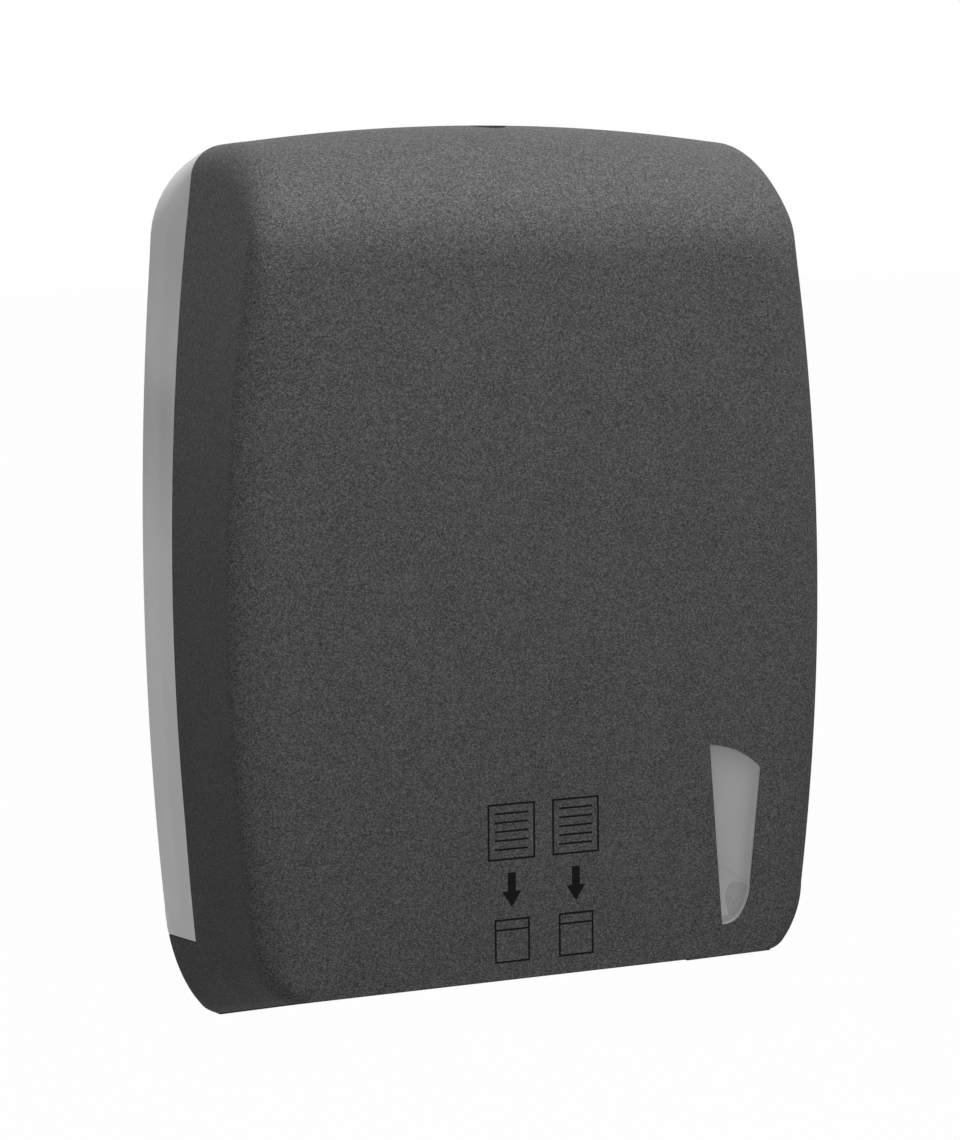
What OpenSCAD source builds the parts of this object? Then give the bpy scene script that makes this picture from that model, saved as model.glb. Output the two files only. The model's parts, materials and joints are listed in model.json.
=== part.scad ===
// Wall dispenser for two side-by-side stacks of folded toilet paper.
// A fixed base (back plate, tray, guides, divider) is covered by a hood that swings
// down on two pins at the lower rear. The hood is a clear smoke shell in a dark skin.
// Origin: centre of the back, on the wall. +X right, +Z up, the front faces -Y.
// A name ending in _h is a height above the lowest edge, one ending in _t a depth from the wall.

/* [Body] */
// Width of the hood at the wall, at its widest
body_w = 262; // [254:1:280]
// Height from the lowest edge to the crown
body_h = 370; // [355:1:400]
// Depth from the wall to the front face
body_d = 125; // [121:1:135]
// How far each side leans in between wall and front
side_lean = 8; // [5:0.5:10]
// Bow of a side at the wall, middle to end
bow_back = 10.5; // [8:0.5:12]
// Bow of a side at the front face
bow_front = 18.5; // [14:0.5:19]
// Height of the widest point of the sides
widest_h = 173; // [165:1:185]
// Rise of the arched top over its outer ends
arch_rise = 11.5; // [8:0.5:14]
// How far the edge of the flat front face lies inside the widest line of the sides
face_in = 29; // [27:0.5:33]
// Depth taken by the rounding between a side and the front
cheek_round = 10; // [8:0.5:14]
// Depth taken by the rounding between the top and the front
brow_depth = 66; // [55:1:72]
// Height taken by that rounding
brow_drop = 54; // [46:1:60]
// Radius of the upper corners at the wall
corner_back = 42; // [34:1:48]
// Radius of the upper corners from the skin's edge forward
corner_front = 14; // [10:1:18]
// Radius of the lower corners
foot_r = 40; // [34:1:44]
// Angle that a lower corner turns before its edge turns in
foot_turn = 38; // [34:1:44]
// Radius of the lower corners at the front face
foot_front_r = 8; // [7.5:0.5:10]
// Radius at which the lower edge of a corner turns in
edge_r = 10; // [9:0.5:12]
// The same at the front face
edge_front_r = 7.5; // [7:0.5:7.5]
// Angle at which that edge ends
edge_turn = 80; // [74:1:84]
// Depth of the small square foot under that edge
edge_foot = 0.5; // [0.3:0.1:0.8]
// Height of the front lip
lip_h = 35; // [32:1:38]
// Radius of the lower rear corner, struck from the hinge
heel_r = 16; // [15:0.5:18]

/* [Hood] */
// Wall of the dark outer skin
skin_wall = 2; // [1.6:0.1:2.2]
// Wall of the clear inner shell
shell_wall = 2.5; // [2:0.1:2.8]
// Gap between skin and shell
skin_gap = 0.4; // [0.3:0.05:0.5]
// Gap between the hood's rear edge and the wall
wall_gap = 1; // [0.6:0.1:1.4]
// Depth of the clear band between the wall and the skin's rear edge
band_t = 44; // [36:1:50]
// Seam between the clear band and the skin's edge
seam = 0.3; // [0.2:0.1:0.5]
// Height of the band's lower end at the wall
band_back_h = 32; // [30:1:36]
// Height of the band's lower end at the skin's edge
band_front_h = 38.5; // [36:0.5:44]
// Depth of the band's lower front corner
band_low_t = 40; // [34:1:44]
// Height below which the skin's edge runs back towards that corner
band_bend_h = 90; // [70:1:120]
// How far the shell runs back under the skin's edge
shell_lap = 8; // [6:1:12]
// How far the shell stays above the skin's lower edge
shell_rise = 3; // [2.6:0.2:4]
// How far the window's upper inner corner lies inside the edge of the front face
window_in = 30.5; // [28:0.5:36]
// Width of the window at its top
window_top_w = 22.7; // [20:0.1:24]
// Width of the window where its rounded foot begins
window_low_w = 14; // [12:0.1:16]
// Width of the window at its foot
window_foot_w = 5.8; // [4:0.1:7]
// Height at which the rounded foot begins
window_bend_h = 65.3; // [62:0.1:70]
// Height of the window's upper inner corner
window_top_h = 123; // [118:1:126]
// Height of the window's upper outer corner
window_shoulder_h = 112; // [108:1:115]
// Height of the window's foot
window_foot_h = 47.8; // [46:0.1:52]
// How far the inner edge slants outwards between top and foot
window_slant = 5.6; // [4:0.1:7]
// Radius of the window's arched top
window_top_r = 36; // [30:1:60]
// Radius of the window's rounded outer foot
window_foot_r = 22.5; // [18:0.5:28]
// Gap between the clear shell's raised window and the skin round it
window_fit = 0.15; // [0.1:0.05:0.25]
// Depth of the window's face below the skin
window_sink = 0.3; // [0.2:0.1:0.6]
// Radius of the studs that hold the skin to the shell
stud_r = 1.5; // [1.3:0.1:1.8]
// How far a stud stands out of its nut
stud_tip = 1.5; // [1:0.1:2]
// Clearance of the studs in the shell, on the radius
stud_play = 0.3; // [0.2:0.05:0.4]
// Depth of the upper row of studs below the crown
stud_drop = 80; // [75:1:100]
// Height of the lower row of studs
stud_low_h = 140; // [135:1:160]
// How far the studs lie inside the edge of the front face
stud_in = 20; // [17:0.5:27]
// Thickness of a push-on nut
nut_t = 1; // [0.8:0.1:1.4]
// Radius of a push-on nut
nut_r = 4.5; // [4:0.1:5]

/* [Hinge] */
// Radius of the hinge pins
pin_r = 3; // [2.5:0.1:3.5]
// Radius of a pin's head
pin_head_r = 4.5; // [4:0.1:5.5]
// Thickness of a pin's head
pin_head_t = 1.5; // [1:0.1:2]
// Running clearance of the pins in the bushes, on the radius
pin_play = 0.05; // [0.03:0.01:0.08]
// Wall of the hinge bushes
bush_wall = 1.5; // [1.2:0.1:1.8]
// Wall of the knuckle round a bush
knuckle_wall = 2.5; // [2:0.1:3]
// Length of a knuckle
knuckle_l = 11; // [10:0.5:12]
// How far the inner face of a knuckle lies inside the widest line of the sides
knuckle_in = 30.5; // [30:0.5:33]
// Thickness of a base ear
ear_t = 5; // [4:0.5:6]
// Side gap between an ear and its knuckle
ear_gap = 0.5; // [0.4:0.1:0.8]
// Radius of an ear's round end
ear_r = 7.5; // [6.5:0.5:8]

/* [Base] */
// Thickness of the back plate
plate_t = 2.6; // [2.2:0.1:3]
// Gap between the back plate's rim and the hood
plate_gap = 1.8; // [1.6:0.1:2.4]
// Depth of the back plate's rim
rim_d = 10; // [8:0.5:12]
// Wall of the rim
rim_wall = 2; // [1.6:0.1:2.4]
// Height of the back plate's lower edge
plate_foot_h = 17.5; // [17:0.5:20]
// Gap between the hood's lower rear corner and the wide part of the plate above it
plate_step_gap = 8; // [7.5:0.5:10]
// Depth of the seats that carry tray, guides, divider and strike
seat_t = 5; // [4.5:0.5:6]
// Radius of the seats
seat_r = 5.5; // [5:0.5:6]
// Width of a rib on the back plate
rib_w = 2; // [1.6:0.1:2.4]
// How far the upright ribs run past the outermost seats
rib_past = 8; // [6:1:12]
// Distance between the wall holes, across
hole_pitch_x = 150; // [140:1:160]
// Distance between the wall holes, up
hole_pitch_z = 230; // [220:1:240]
// Width of a slotted wall hole
hole_w = 5.5; // [5:0.1:6]
// Length of a slotted wall hole
hole_l = 11; // [9:0.5:13]
// Width of the raised land round a wall hole
hole_land = 4; // [3:0.5:5]
// Height of that land over the plate
hole_lift = 1.5; // [1:0.1:2]

/* [Paper] */
// Wall of the tray
tray_wall = 2.2; // [1.8:0.1:2.6]
// Side gap between the tray and the guides
tray_play = 0.5; // [0.3:0.1:1]
// Gap between the tray's notched rear corners and the ears of the back plate
tray_rear_gap = 1; // [0.6:0.1:2]
// Distance of the outer tray screws from the sides of the tray
tray_screw_in = 27.5; // [24:0.5:32]
// Height of the tray screws above the floor's rear edge
tray_screw_rise = 12; // [11:0.5:14]
// Edge of the tray's back past its screw seats
tray_edge = 2; // [1.5:0.5:3]
// Height of the tray's floor at the back
floor_back_h = 25; // [24:0.5:27]
// Height of the tray's floor at the front
floor_front_h = 40; // [39:0.5:43]
// Gap between the tray's front lip and the shell
tray_gap = 1.5; // [1:0.1:2]
// Gap kept at the shell's rounder front corners
tray_corner_gap = 0.7; // [0.5:0.1:1]
// Height of the tray's front lip above its floor
tray_lip = 9; // [7:0.5:12]
// Height of the top of the tray's side cheeks
cheek_h = 52; // [51:0.5:54]
// Rise of the cheeks' upper edge towards the front
cheek_rise = 3; // [2:0.5:4]
// Depth of the rear end of the side cheeks
cheek_t = 72; // [66:1:78]
// Radius of the stop on the inside of a cheek
stop_r = 2.2; // [1.8:0.1:2.6]
// Width of an outlet
outlet_w = 60; // [50:1:66]
// Depth of an outlet
outlet_d = 46; // [40:1:50]
// Radius of an outlet's corners
outlet_r = 16; // [12:1:20]
// Depth of the middle of the outlets
outlet_t = 66; // [62:1:70]
// Height of the collar round an outlet
collar_h = 5; // [4:0.5:6]
// Thickness of a paper guide
guide_wall = 1.8; // [1.5:0.1:2]
// Gap between a guide and the hood where the hood is narrowest
guide_gap = 2; // [1.5:0.1:3]
// Depth of the front edge of the guides
guide_d = 98; // [85:1:100]
// Height of the guides' lower edge
guide_low_h = 54.5; // [53:0.5:58]
// Depth of the guides' upper edge below the crown
guide_drop = 54; // [52:1:80]
// Width of the flange that fixes a guide or the divider
flange_w = 14; // [13:0.5:16]
// Thickness of the divider
divider_wall = 2.4; // [2:0.1:3]
// Depth of the divider's front edge
divider_d = 104; // [90:1:106]
// Gap between the divider and the tray's floor
divider_gap = 1.5; // [1:0.1:2]
// Gap between the divider's flange and the tray's back
divider_lift = 2.5; // [1.5:0.5:4]
// Size of the slanted corners of guides and divider
chamfer = 30; // [20:1:36]
// Depth of the divider's upper edge below the crown
divider_drop = 70; // [64:1:90]
// Depth of the upper fixings of guides and divider below the divider's upper edge
fixing_drop = 30; // [26:1:50]
// Height of the lower fixings of guides and divider
fixing_low_h = 100; // [90:1:110]

/* [Lock] */
// Depth of the lock's axis
lock_t = 67; // [64:0.5:69]
// Radius of the lock barrel
barrel_r = 5.5; // [5:0.1:6]
// Running clearance of the barrel, on the radius
barrel_play = 0.06; // [0.04:0.01:0.09]
// Thickness of the lock housing's flange
housing_flange = 2.5; // [2:0.1:3]
// Depth of the lock housing's upper end below the crown
housing_sink = 8; // [7:0.5:9]
// Radius of the pad that carries the lock housing
pad_r = 19; // [17.5:0.5:20]
// How far the housing's flange stays inside the pad
housing_in = 1; // [0.5:0.1:1.5]
// Depth of the pad's face below the crown
pad_drop = 11; // [10:0.5:12]
// Distance of the housing screws from the lock's axis
housing_screw_x = 13; // [12:0.5:14]
// Width of the key slot
key_w = 1.6; // [1.2:0.1:2]
// Length of the key slot
key_l = 6.6; // [5:0.2:7.6]
// Depth of the key slot
key_d = 1.8; // [1:0.1:2]
// Outer radius of the lock bezel
bezel_r = 7.5; // [7.2:0.1:8]
// Depth of the bezel's face below the crown
bezel_sink = 2.5; // [2:0.1:3]
// Clearance of the barrel's head in the bezel, on the radius
bezel_play = 0.3; // [0.2:0.05:0.4]
// Depth of the barrel's face below the crown
barrel_sink = 5; // [4:0.5:6]
// Length of the barrel
barrel_l = 22; // [20:0.5:26]
// Thickness of the hook cam
cam_t = 2; // [1.6:0.1:2.4]
// Radius of the strike post
post_r = 2.5; // [2:0.1:3]
// Distance between the lock's axis and the strike post
post_reach = 16; // [15:0.5:18]
// Width of the hook behind the post
hook_w = 3; // [2.5:0.5:4]
// Gap between the hook and the post
hook_gap = 0.8; // [0.5:0.1:1]
// Angle from the post's side at which the arm of the open hook begins
arm_from = -48; // [-52:1:-44]
// Angle at which the arm ends
arm_to = -26; // [-30:1:-24]
// Angle at which the hook ends
hook_to = 22; // [16:1:24]
// Thickness of the strike bracket
strike_wall = 2; // [1.6:0.1:2.4]
// Width of the strike bracket
strike_w = 23; // [22:1:26]
// Gap between the strike bracket and the divider
strike_gap = 5; // [4:0.5:8]
// Height of the strike's screws above its lower edge
strike_screw_rise = 9; // [8:0.5:10]
// Edge of the strike bracket past its screw heads
strike_edge = 1; // [0.8:0.1:1.4]
// Depth of the strike's arm below the cam
strike_drop = 16; // [12:0.5:18]
// How far the post stands above the cam
post_tip = 2; // [1.5:0.5:3]

/* [Screws] */
// Radius of a screw's shank
screw_r = 1.5; // [1.3:0.1:1.7]
// Length of a screw under its head
screw_l = 6; // [5:0.5:6.5]
// Radius of a screw head
head_r = 3; // [2.6:0.1:3.4]
// Height of a screw head
head_h = 2; // [1.6:0.1:2.4]
// Clearance of screws, pins and bushes in their holes, on the radius
fit = 0.05; // [0.03:0.01:0.1]
// Room left past the tip of a screw in a blind hole
tip_room = 0.3; // [0.2:0.05:0.4]

/* [Hidden] */
$fn = 48;

// ---- shape of the hood -------------------------------------------------------------

hinge_t = wall_gap + heel_r;
hinge_h = heel_r;
lip_run = body_d - hinge_t;
lip_angle = atan2(lip_h - heel_r, lip_run) + asin(heel_r / norm([lip_run, lip_h - heel_r]));
face_x = body_w / 2 - face_in;
brow_t = body_d - brow_depth;
cheek_start_t = body_d - cheek_round;
shell_in = skin_wall + skin_gap;
cavity_in = shell_in + shell_wall;
side_steps = 8;
top_steps = 5;
turn_steps = 6;
foot_steps = 5;
edge_steps = 3;

function up(h) = h - body_h / 2;
function mix(a, b, f) = a + (b - a) * f;
function share(t, from, to) = max(0, min(1, (t - from) / (to - from)));
function quarter(u) = 1 - sqrt(max(0, 1 - u * u));
function cheek_turn(t, inset) = quarter(share(t, cheek_start_t, body_d - inset));
function brow_turn(t, inset) = quarter(share(t, brow_t, body_d - inset));

// Half width at height h and depth t, on a surface that lies inset behind the outside
function side_x(h, t, inset) =
    let (bow = mix(bow_back, bow_front, t / body_d) * pow((h - widest_h) / (body_h / 2), 2))
    mix(body_w / 2 - inset - side_lean * t / body_d - bow, face_x, cheek_turn(t, inset));

// Height of the top at half width x and depth t
function top_h(x, t, inset) =
    let (turn = brow_turn(t, inset))
    body_h - inset - (brow_drop - inset) * turn
        - arch_rise * pow(x / (body_w / 2), 2) * (1 - turn);

// Height of the lower edge at depth t: an arc round the hinge, then a line up to the lip
function bottom_h(t) = t < hinge_t + heel_r * sin(lip_angle)
    ? heel_r - sqrt(max(0, pow(heel_r, 2) - pow(t - hinge_t, 2)))
    : lip_h - (body_d - t) * tan(lip_angle);

function corner_r(t, inset) = mix(corner_back, corner_front, share(t, 0, band_t)) - inset;

// Centre of an upper corner, found by sliding it along the side and the top in turn
function corner_centre(t, inset, rounds = 6, h = body_h * 0.8) =
    let (r = corner_r(t, inset), x = side_x(h, t, inset) - r)
    rounds == 0 ? [x, h] : corner_centre(t, inset, rounds - 1, top_h(x, t, inset) - r);

// Right half of the outline at depth t, from the lower edge of the side up to the top middle
function half_outline(t, inset, rise) =
    let (low_h = bottom_h(t) + rise,
        turn = cheek_turn(t, inset),
        big_r = mix(foot_r, foot_front_r, turn),
        small_r = mix(edge_r, edge_front_r, turn),
        big_in = max(2 * fit, big_r - inset),
        small_in = max(fit, small_r - inset),
        edge_h = low_h + edge_foot + small_r * sin(edge_turn),
        foot_h = edge_h + (big_r - small_r) * sin(foot_turn),
        foot_x = side_x(foot_h, t, inset) - big_in,
        edge_x = foot_x + (big_r - small_r) * cos(foot_turn),
        c = corner_centre(t, inset),
        r = corner_r(t, inset),
        lean_in = atan((side_x(c[1] - 1, t, inset) - side_x(c[1] + 1, t, inset)) / 2),
        fall = atan((top_h(c[0] - 1, t, inset) - top_h(c[0] + 1, t, inset)) / 2),
        first_h = c[1] + r * sin(lean_in))
    concat(
        [[edge_x + small_in * cos(edge_turn), low_h]],
        [for (i = [0:edge_steps - 1]) let (a = -mix(edge_turn, foot_turn, i / edge_steps))
            [edge_x + small_in * cos(a), edge_h + small_in * sin(a)]],
        [for (i = [0:foot_steps - 1]) let (a = -foot_turn * (1 - i / foot_steps))
            [foot_x + big_in * cos(a), foot_h + big_in * sin(a)]],
        [for (i = [0:side_steps - 1]) let (h = mix(foot_h, first_h, i / side_steps))
            [side_x(h, t, inset), h]],
        [for (i = [0:turn_steps]) let (a = mix(lean_in, 90 - fall, i / turn_steps))
            [c[0] + r * cos(a), c[1] + r * sin(a)]],
        [for (i = [1:top_steps]) let (x = c[0] * (1 - i / top_steps))
            [x, top_h(x, t, inset)]]);

// The same from the left lower edge over the top to the right lower edge, as points in space
function path(t, inset, rise = 0) =
    let (half = half_outline(t, inset, rise), n = len(half))
    [for (i = [0:2 * n - 2]) let (p = i < n ? half[i] : half[2 * n - 2 - i])
        [i < n ? -p[0] : p[0], -t, up(p[1])]];

// Depths at which the outline is taken: round the heel, then along the brow and the cheeks
heel_depths = concat([for (a = [0:22.5:90]) hinge_t - heel_r * cos(a)],
    [hinge_t + heel_r * sin(lip_angle)]);
function hood_depths(inset) = concat(heel_depths, [band_t],
    [for (a = [0:15:45]) body_d - inset - (brow_depth - inset) * (1 - sin(a))],
    [for (a = [0:22.5:90]) body_d - inset - (cheek_round - inset) * (1 - sin(a))]);
band_depths = concat(heel_depths, [band_t + 1]);

// Triangles between two rows of points that start at numbers a and b
function strip(a, b, n) = [for (i = [0:n - 2])
    each [[a + i, a + i + 1, b + i + 1], [a + i, b + i + 1, b + i]]];

// The hood as one closed solid, flat underneath, with its surface at an inset
module solid_hood(inset, rise = 0) {
    rings = [for (t = hood_depths(inset)) path(t, inset, rise)];
    n = len(rings[0]);
    last = len(rings) - 1;
    under = [for (j = [0:last - 1]) let (a = j * n, b = a + n)
        each [[b - 1, a, b], [b - 1, b, b + n - 1]]];
    polyhedron(points = [for (r = rings) each r], faces = concat(
        [for (j = [0:last - 1]) each strip(j * n, (j + 1) * n, n)], under,
        [[for (i = [n - 1:-1:0]) i], [for (i = [0:n - 1]) last * n + i]]));
}

// Wall between two insets, open at the back and underneath; capped closes its front
module wall(outer_depths, inner_depths, outer, inner, rise, capped) {
    outs = [for (t = outer_depths) path(t, outer, rise)];
    ins = [for (t = inner_depths) path(t, inner, rise)];
    n = len(outs[0]);
    rows = len(outs);
    last = (rows - 1) * n;
    other = rows * n;
    end = other + last;
    feet = [for (j = [0:rows - 2]) let (a = j * n, b = other + j * n) each [
        [b, a, a + n], [b, a + n, b + n],
        [a + n - 1, b + n - 1, b + 2 * n - 1], [a + n - 1, b + 2 * n - 1, a + 2 * n - 1]]];
    front = capped
        ? concat([[for (i = [0:n - 1]) last + i], [for (i = [n - 1:-1:0]) end + i]],
            [[end, last, last + n - 1], [end, last + n - 1, end + n - 1]])
        : strip(last, end, n);
    polyhedron(points = concat([for (r = outs) each r], [for (r = ins) each r]), faces = concat(
        [for (j = [0:rows - 2]) each strip(j * n, (j + 1) * n, n)],
        [for (j = [0:rows - 2]) each strip(other + (j + 1) * n, other + j * n, n)],
        strip(other, 0, n), feet, front));
}
module hood_wall(outer, inner, rise = 0)
    wall(hood_depths(outer), hood_depths(inner), outer, inner, rise, true);

// ---- helpers -----------------------------------------------------------------------

// Side-view point from a depth and a height
function side_point(t, h) = [-t, up(h)];
// Carries a side view (depth, height) across from x0 to x1
module across(x0, x1) translate([x0, 0, 0]) rotate([90, 0, 90]) linear_extrude(x1 - x0) children();
// Carries a front view forward from depth t0 to t1
module forward(t0, t1) translate([0, -t0, 0]) rotate([90, 0, 0]) linear_extrude(t1 - t0) children();
module rod_x(r, x0, x1, t, h) translate([x0, -t, up(h)]) rotate([0, 90, 0]) cylinder(r = r, h = x1 - x0);
module rod_y(r, t0, t1, x, h) translate([x, -t0, up(h)]) rotate([90, 0, 0]) cylinder(r = r, h = t1 - t0);
module rod_z(r, h0, h1, x, t) translate([x, -t, up(h0)]) cylinder(r = r, h = h1 - h0);
module block(x0, x1, t0, t1, h0, h1) translate([x0, -t1, up(h0)]) cube([x1 - x0, t1 - t0, h1 - h0]);
module both_sides() { children(); mirror([1, 0, 0]) children(); }
module on_side(s) if (s > 0) children(); else mirror([1, 0, 0]) children();

// Rounded rectangle centred on the origin
module rounded(w, d, r) {
    square([w - 2 * r, d], center = true);
    square([w, d - 2 * r], center = true);
    for (x = [-1, 1], y = [-1, 1]) translate([x * (w / 2 - r), y * (d / 2 - r)]) circle(r = r);
}
module slot(l, w) {
    square([l - w, w], center = true);
    for (x = [-1, 1]) translate([x * (l - w) / 2, 0]) circle(r = w / 2);
}

// Pan-head screw along -Z with its head's underside at the origin
module pan_screw(l = screw_l) difference() {
    union() {
        translate([0, 0, -l]) cylinder(r = screw_r, h = l);
        cylinder(r = head_r, h = head_h * 0.45);
        translate([0, 0, head_h * 0.45]) cylinder(r1 = head_r, r2 = head_r * 0.6, h = head_h * 0.55);
    }
    for (a = [0, 90]) rotate(a) translate([-head_r * 0.55, -head_r * 0.12, head_h * 0.4])
        cube([head_r * 1.1, head_r * 0.24, head_h]);
}
// The same screw pointing at the wall, with its head on a face at depth t
module wall_screw(x, t, h) translate([x, -t, up(h)]) rotate([90, 0, 0]) pan_screw();

hole_r = screw_r + fit;

// ---- base --------------------------------------------------------------------------

plate_in = cavity_in + plate_gap;
knuckle_x = body_w / 2 - knuckle_in;
guide_top_h = body_h - guide_drop;
divider_top_h = body_h - divider_drop;
fixing_top_h = divider_top_h - fixing_drop;
guide_x = side_x(guide_top_h, guide_d, cavity_in) - guide_gap - guide_wall;
tray_x = guide_x - tray_play;
tray_seat_x = tray_x - tray_screw_in;
tray_seat_h = floor_back_h + tray_screw_rise;
tray_back_h = tray_seat_h + seat_r + tray_edge;
tray_seats = [for (x = [-1, -1 / 3, 1 / 3, 1]) [tray_seat_x * x, tray_seat_h]];
fixing_hs = [fixing_low_h, fixing_top_h];
guide_seat_x = guide_x - flange_w / 2;
divider_seat_x = flange_w / 2;
strike_low_h = divider_top_h + strike_gap;
strike_seat_h = strike_low_h + strike_screw_rise;
strike_seats = [for (x = [-1, 1]) [(strike_w / 2 - head_r - strike_edge) * x, strike_seat_h]];
side_seats = [for (x = [-guide_seat_x, guide_seat_x], h = fixing_hs) [x, h]];
middle_seats = [for (x = [-divider_seat_x, divider_seat_x], h = fixing_hs) [x, h]];
seats = concat(tray_seats, side_seats, middle_seats, strike_seats);
wall_holes = [for (x = [-1, 1], z = [-1, 1]) [hole_pitch_x / 2 * x, hole_pitch_z / 2 * z]];
ear_x = knuckle_x - ear_gap;
rib_foot_h = tray_seat_h - rib_past;
rib_top_h = strike_seat_h + rib_past;
corner_h = hinge_h + heel_r + plate_step_gap;

// Front view of the back plate: narrow between the knuckles, then as wide as the hood lets it
module plate_outline(inset) {
    half = half_outline(wall_gap, plate_in + inset, 0);
    intersection() {
        both_sides() polygon(concat([[0, up(half[0][1])]], [for (p = half) [p[0], up(p[1])]]));
        union() {
            translate([-body_w, up(corner_h + inset)]) square([2 * body_w, body_h]);
            translate([inset - ear_x, up(plate_foot_h + inset)])
                square([2 * (ear_x - inset), corner_h]);
        }
    }
}
module back_plate() color("#c9cacb") difference() {
    union() {
        forward(0, plate_t) plate_outline(0);
        forward(0, rim_d) difference() {
            plate_outline(0);
            plate_outline(rim_wall);
        }
        for (x = [-hole_pitch_x / 3, hole_pitch_x / 3])
            block(x - rib_w / 2, x + rib_w / 2, 0, seat_t, rib_foot_h, rib_top_h);
        for (h = [tray_seat_h, fixing_low_h, (fixing_low_h + fixing_top_h) / 2, fixing_top_h])
            block(-guide_seat_x, guide_seat_x, 0, seat_t, h - rib_w / 2, h + rib_w / 2);
        for (s = seats) rod_y(seat_r, 0, seat_t, s[0], s[1]);
        for (w = wall_holes) translate([w[0], 0, w[1]]) rotate([90, 0, 0])
            linear_extrude(plate_t + hole_lift) slot(hole_l + 2 * hole_land, hole_w + 2 * hole_land);
        both_sides() {
            rod_x(ear_r, ear_x - ear_t, ear_x, hinge_t, hinge_h);
            block(ear_x - ear_t, ear_x, 0, hinge_t, hinge_h, hinge_h + ear_r);
        }
    }
    for (w = wall_holes) translate([w[0], 1, w[1]]) rotate([90, 0, 0])
        linear_extrude(rim_d) slot(hole_l, hole_w);
    for (s = tray_seats) pilot(s, tray_wall);
    for (s = side_seats) pilot(s, guide_wall);
    for (s = middle_seats) pilot(s, divider_wall);
    for (s = strike_seats) pilot(s, strike_wall);
    both_sides() rod_x(pin_r + fit, ear_x - ear_t - 1, ear_x + 1, hinge_t, hinge_h);
}
// Blind hole for a screw whose head sits on a flange of the given thickness
module pilot(seat, wall) rod_y(hole_r, seat_t + wall - screw_l - tip_room, seat_t + 1, seat[0], seat[1]);

pin_l = ear_t + ear_gap + knuckle_l;
module hinge_pin(s) on_side(s) color("#b9bcc0") union() {
    rod_x(pin_r, ear_x - ear_t, ear_x - ear_t + pin_l, hinge_t, hinge_h);
    rod_x(pin_head_r, ear_x - ear_t - pin_head_t, ear_x - ear_t, hinge_t, hinge_h);
}

tray_front_t = body_d - cavity_in - tray_gap;
function floor_h(t) = mix(floor_back_h, floor_front_h, share(t, seat_t, tray_front_t));
floor_tilt = atan((floor_front_h - floor_back_h) / (tray_front_t - seat_t));
outlet_x = (guide_x + divider_wall / 2) / 2;
cheek_r = (cheek_h - floor_h(cheek_t)) / 2;
// Carries an outline seen from above through the tray's floor, square to the floor
module through_floor(x, low, high) translate([x, -outlet_t, up(floor_h(outlet_t))])
    rotate([-floor_tilt, 0, 0]) translate([0, 0, low]) linear_extrude(high - low) children();
module paper_tray() color("#4a4c4f") difference() {
    intersection() {
        union() {
            across(-tray_x, tray_x) polygon([side_point(seat_t, floor_h(seat_t)),
                side_point(tray_front_t, floor_h(tray_front_t)),
                side_point(tray_front_t, floor_h(tray_front_t) - tray_wall),
                side_point(seat_t, floor_h(seat_t) - tray_wall)]);
            block(-tray_x, tray_x, seat_t, seat_t + tray_wall, floor_back_h - tray_wall, tray_back_h);
            block(-tray_x, tray_x, tray_front_t - tray_wall, tray_front_t, floor_front_h - tray_wall,
                floor_front_h + tray_lip);
            both_sides() across(tray_x - tray_wall, tray_x) union() {
                translate(side_point(cheek_t + cheek_r, cheek_h - cheek_r)) circle(r = cheek_r);
                polygon([side_point(cheek_t + cheek_r, cheek_h),
                    side_point(tray_front_t, cheek_h + cheek_rise),
                    side_point(tray_front_t, floor_front_h - tray_wall),
                    side_point(cheek_t + cheek_r, floor_h(cheek_t) - tray_wall)]);
            }
            both_sides() rod_x(stop_r, tray_x - 2 * tray_wall, tray_x,
                cheek_t + cheek_r * 0.7, cheek_h - cheek_r * 0.8);
            for (s = [-1, 1]) through_floor(s * outlet_x, -collar_h, 0)
                rounded(outlet_w + 2 * tray_wall, outlet_d + 2 * tray_wall, outlet_r + tray_wall);
        }
        solid_hood(cavity_in + tray_gap - 2 * fit, shell_rise);
        solid_hood(cavity_in + tray_corner_gap, shell_rise);
    }
    both_sides() block(ear_x - ear_t - tray_rear_gap, tray_x + 1, 0, hinge_t + tray_rear_gap,
        plate_foot_h, tray_back_h + 1);
    for (s = [-1, 1]) through_floor(s * outlet_x, -collar_h * 2, collar_h * 2)
        rounded(outlet_w, outlet_d, outlet_r);
    for (s = tray_seats) rod_y(hole_r, seat_t - 1, seat_t + tray_wall + 1, s[0], s[1]);
}
module tray_screws() color("#aeb1b5")
    for (s = tray_seats) wall_screw(s[0], seat_t + tray_wall, s[1]);

module side_guide(s) on_side(s) color("#d8d9da") difference() {
    union() {
        across(guide_x, guide_x + guide_wall) polygon([
            side_point(seat_t, guide_low_h), side_point(seat_t, guide_top_h),
            side_point(guide_d - chamfer, guide_top_h), side_point(guide_d, guide_top_h - chamfer),
            side_point(guide_d, guide_low_h + chamfer / 3),
            side_point(guide_d - chamfer / 3, guide_low_h)]);
        block(guide_x - flange_w, guide_x + guide_wall, seat_t, seat_t + guide_wall,
            guide_low_h, guide_top_h);
    }
    for (h = fixing_hs) rod_y(hole_r, seat_t - 1, seat_t + guide_wall + 1, guide_seat_x, h);
}
module guide_screws() color("#aeb1b5")
    for (s = side_seats) wall_screw(s[0], seat_t + guide_wall, s[1]);

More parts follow.
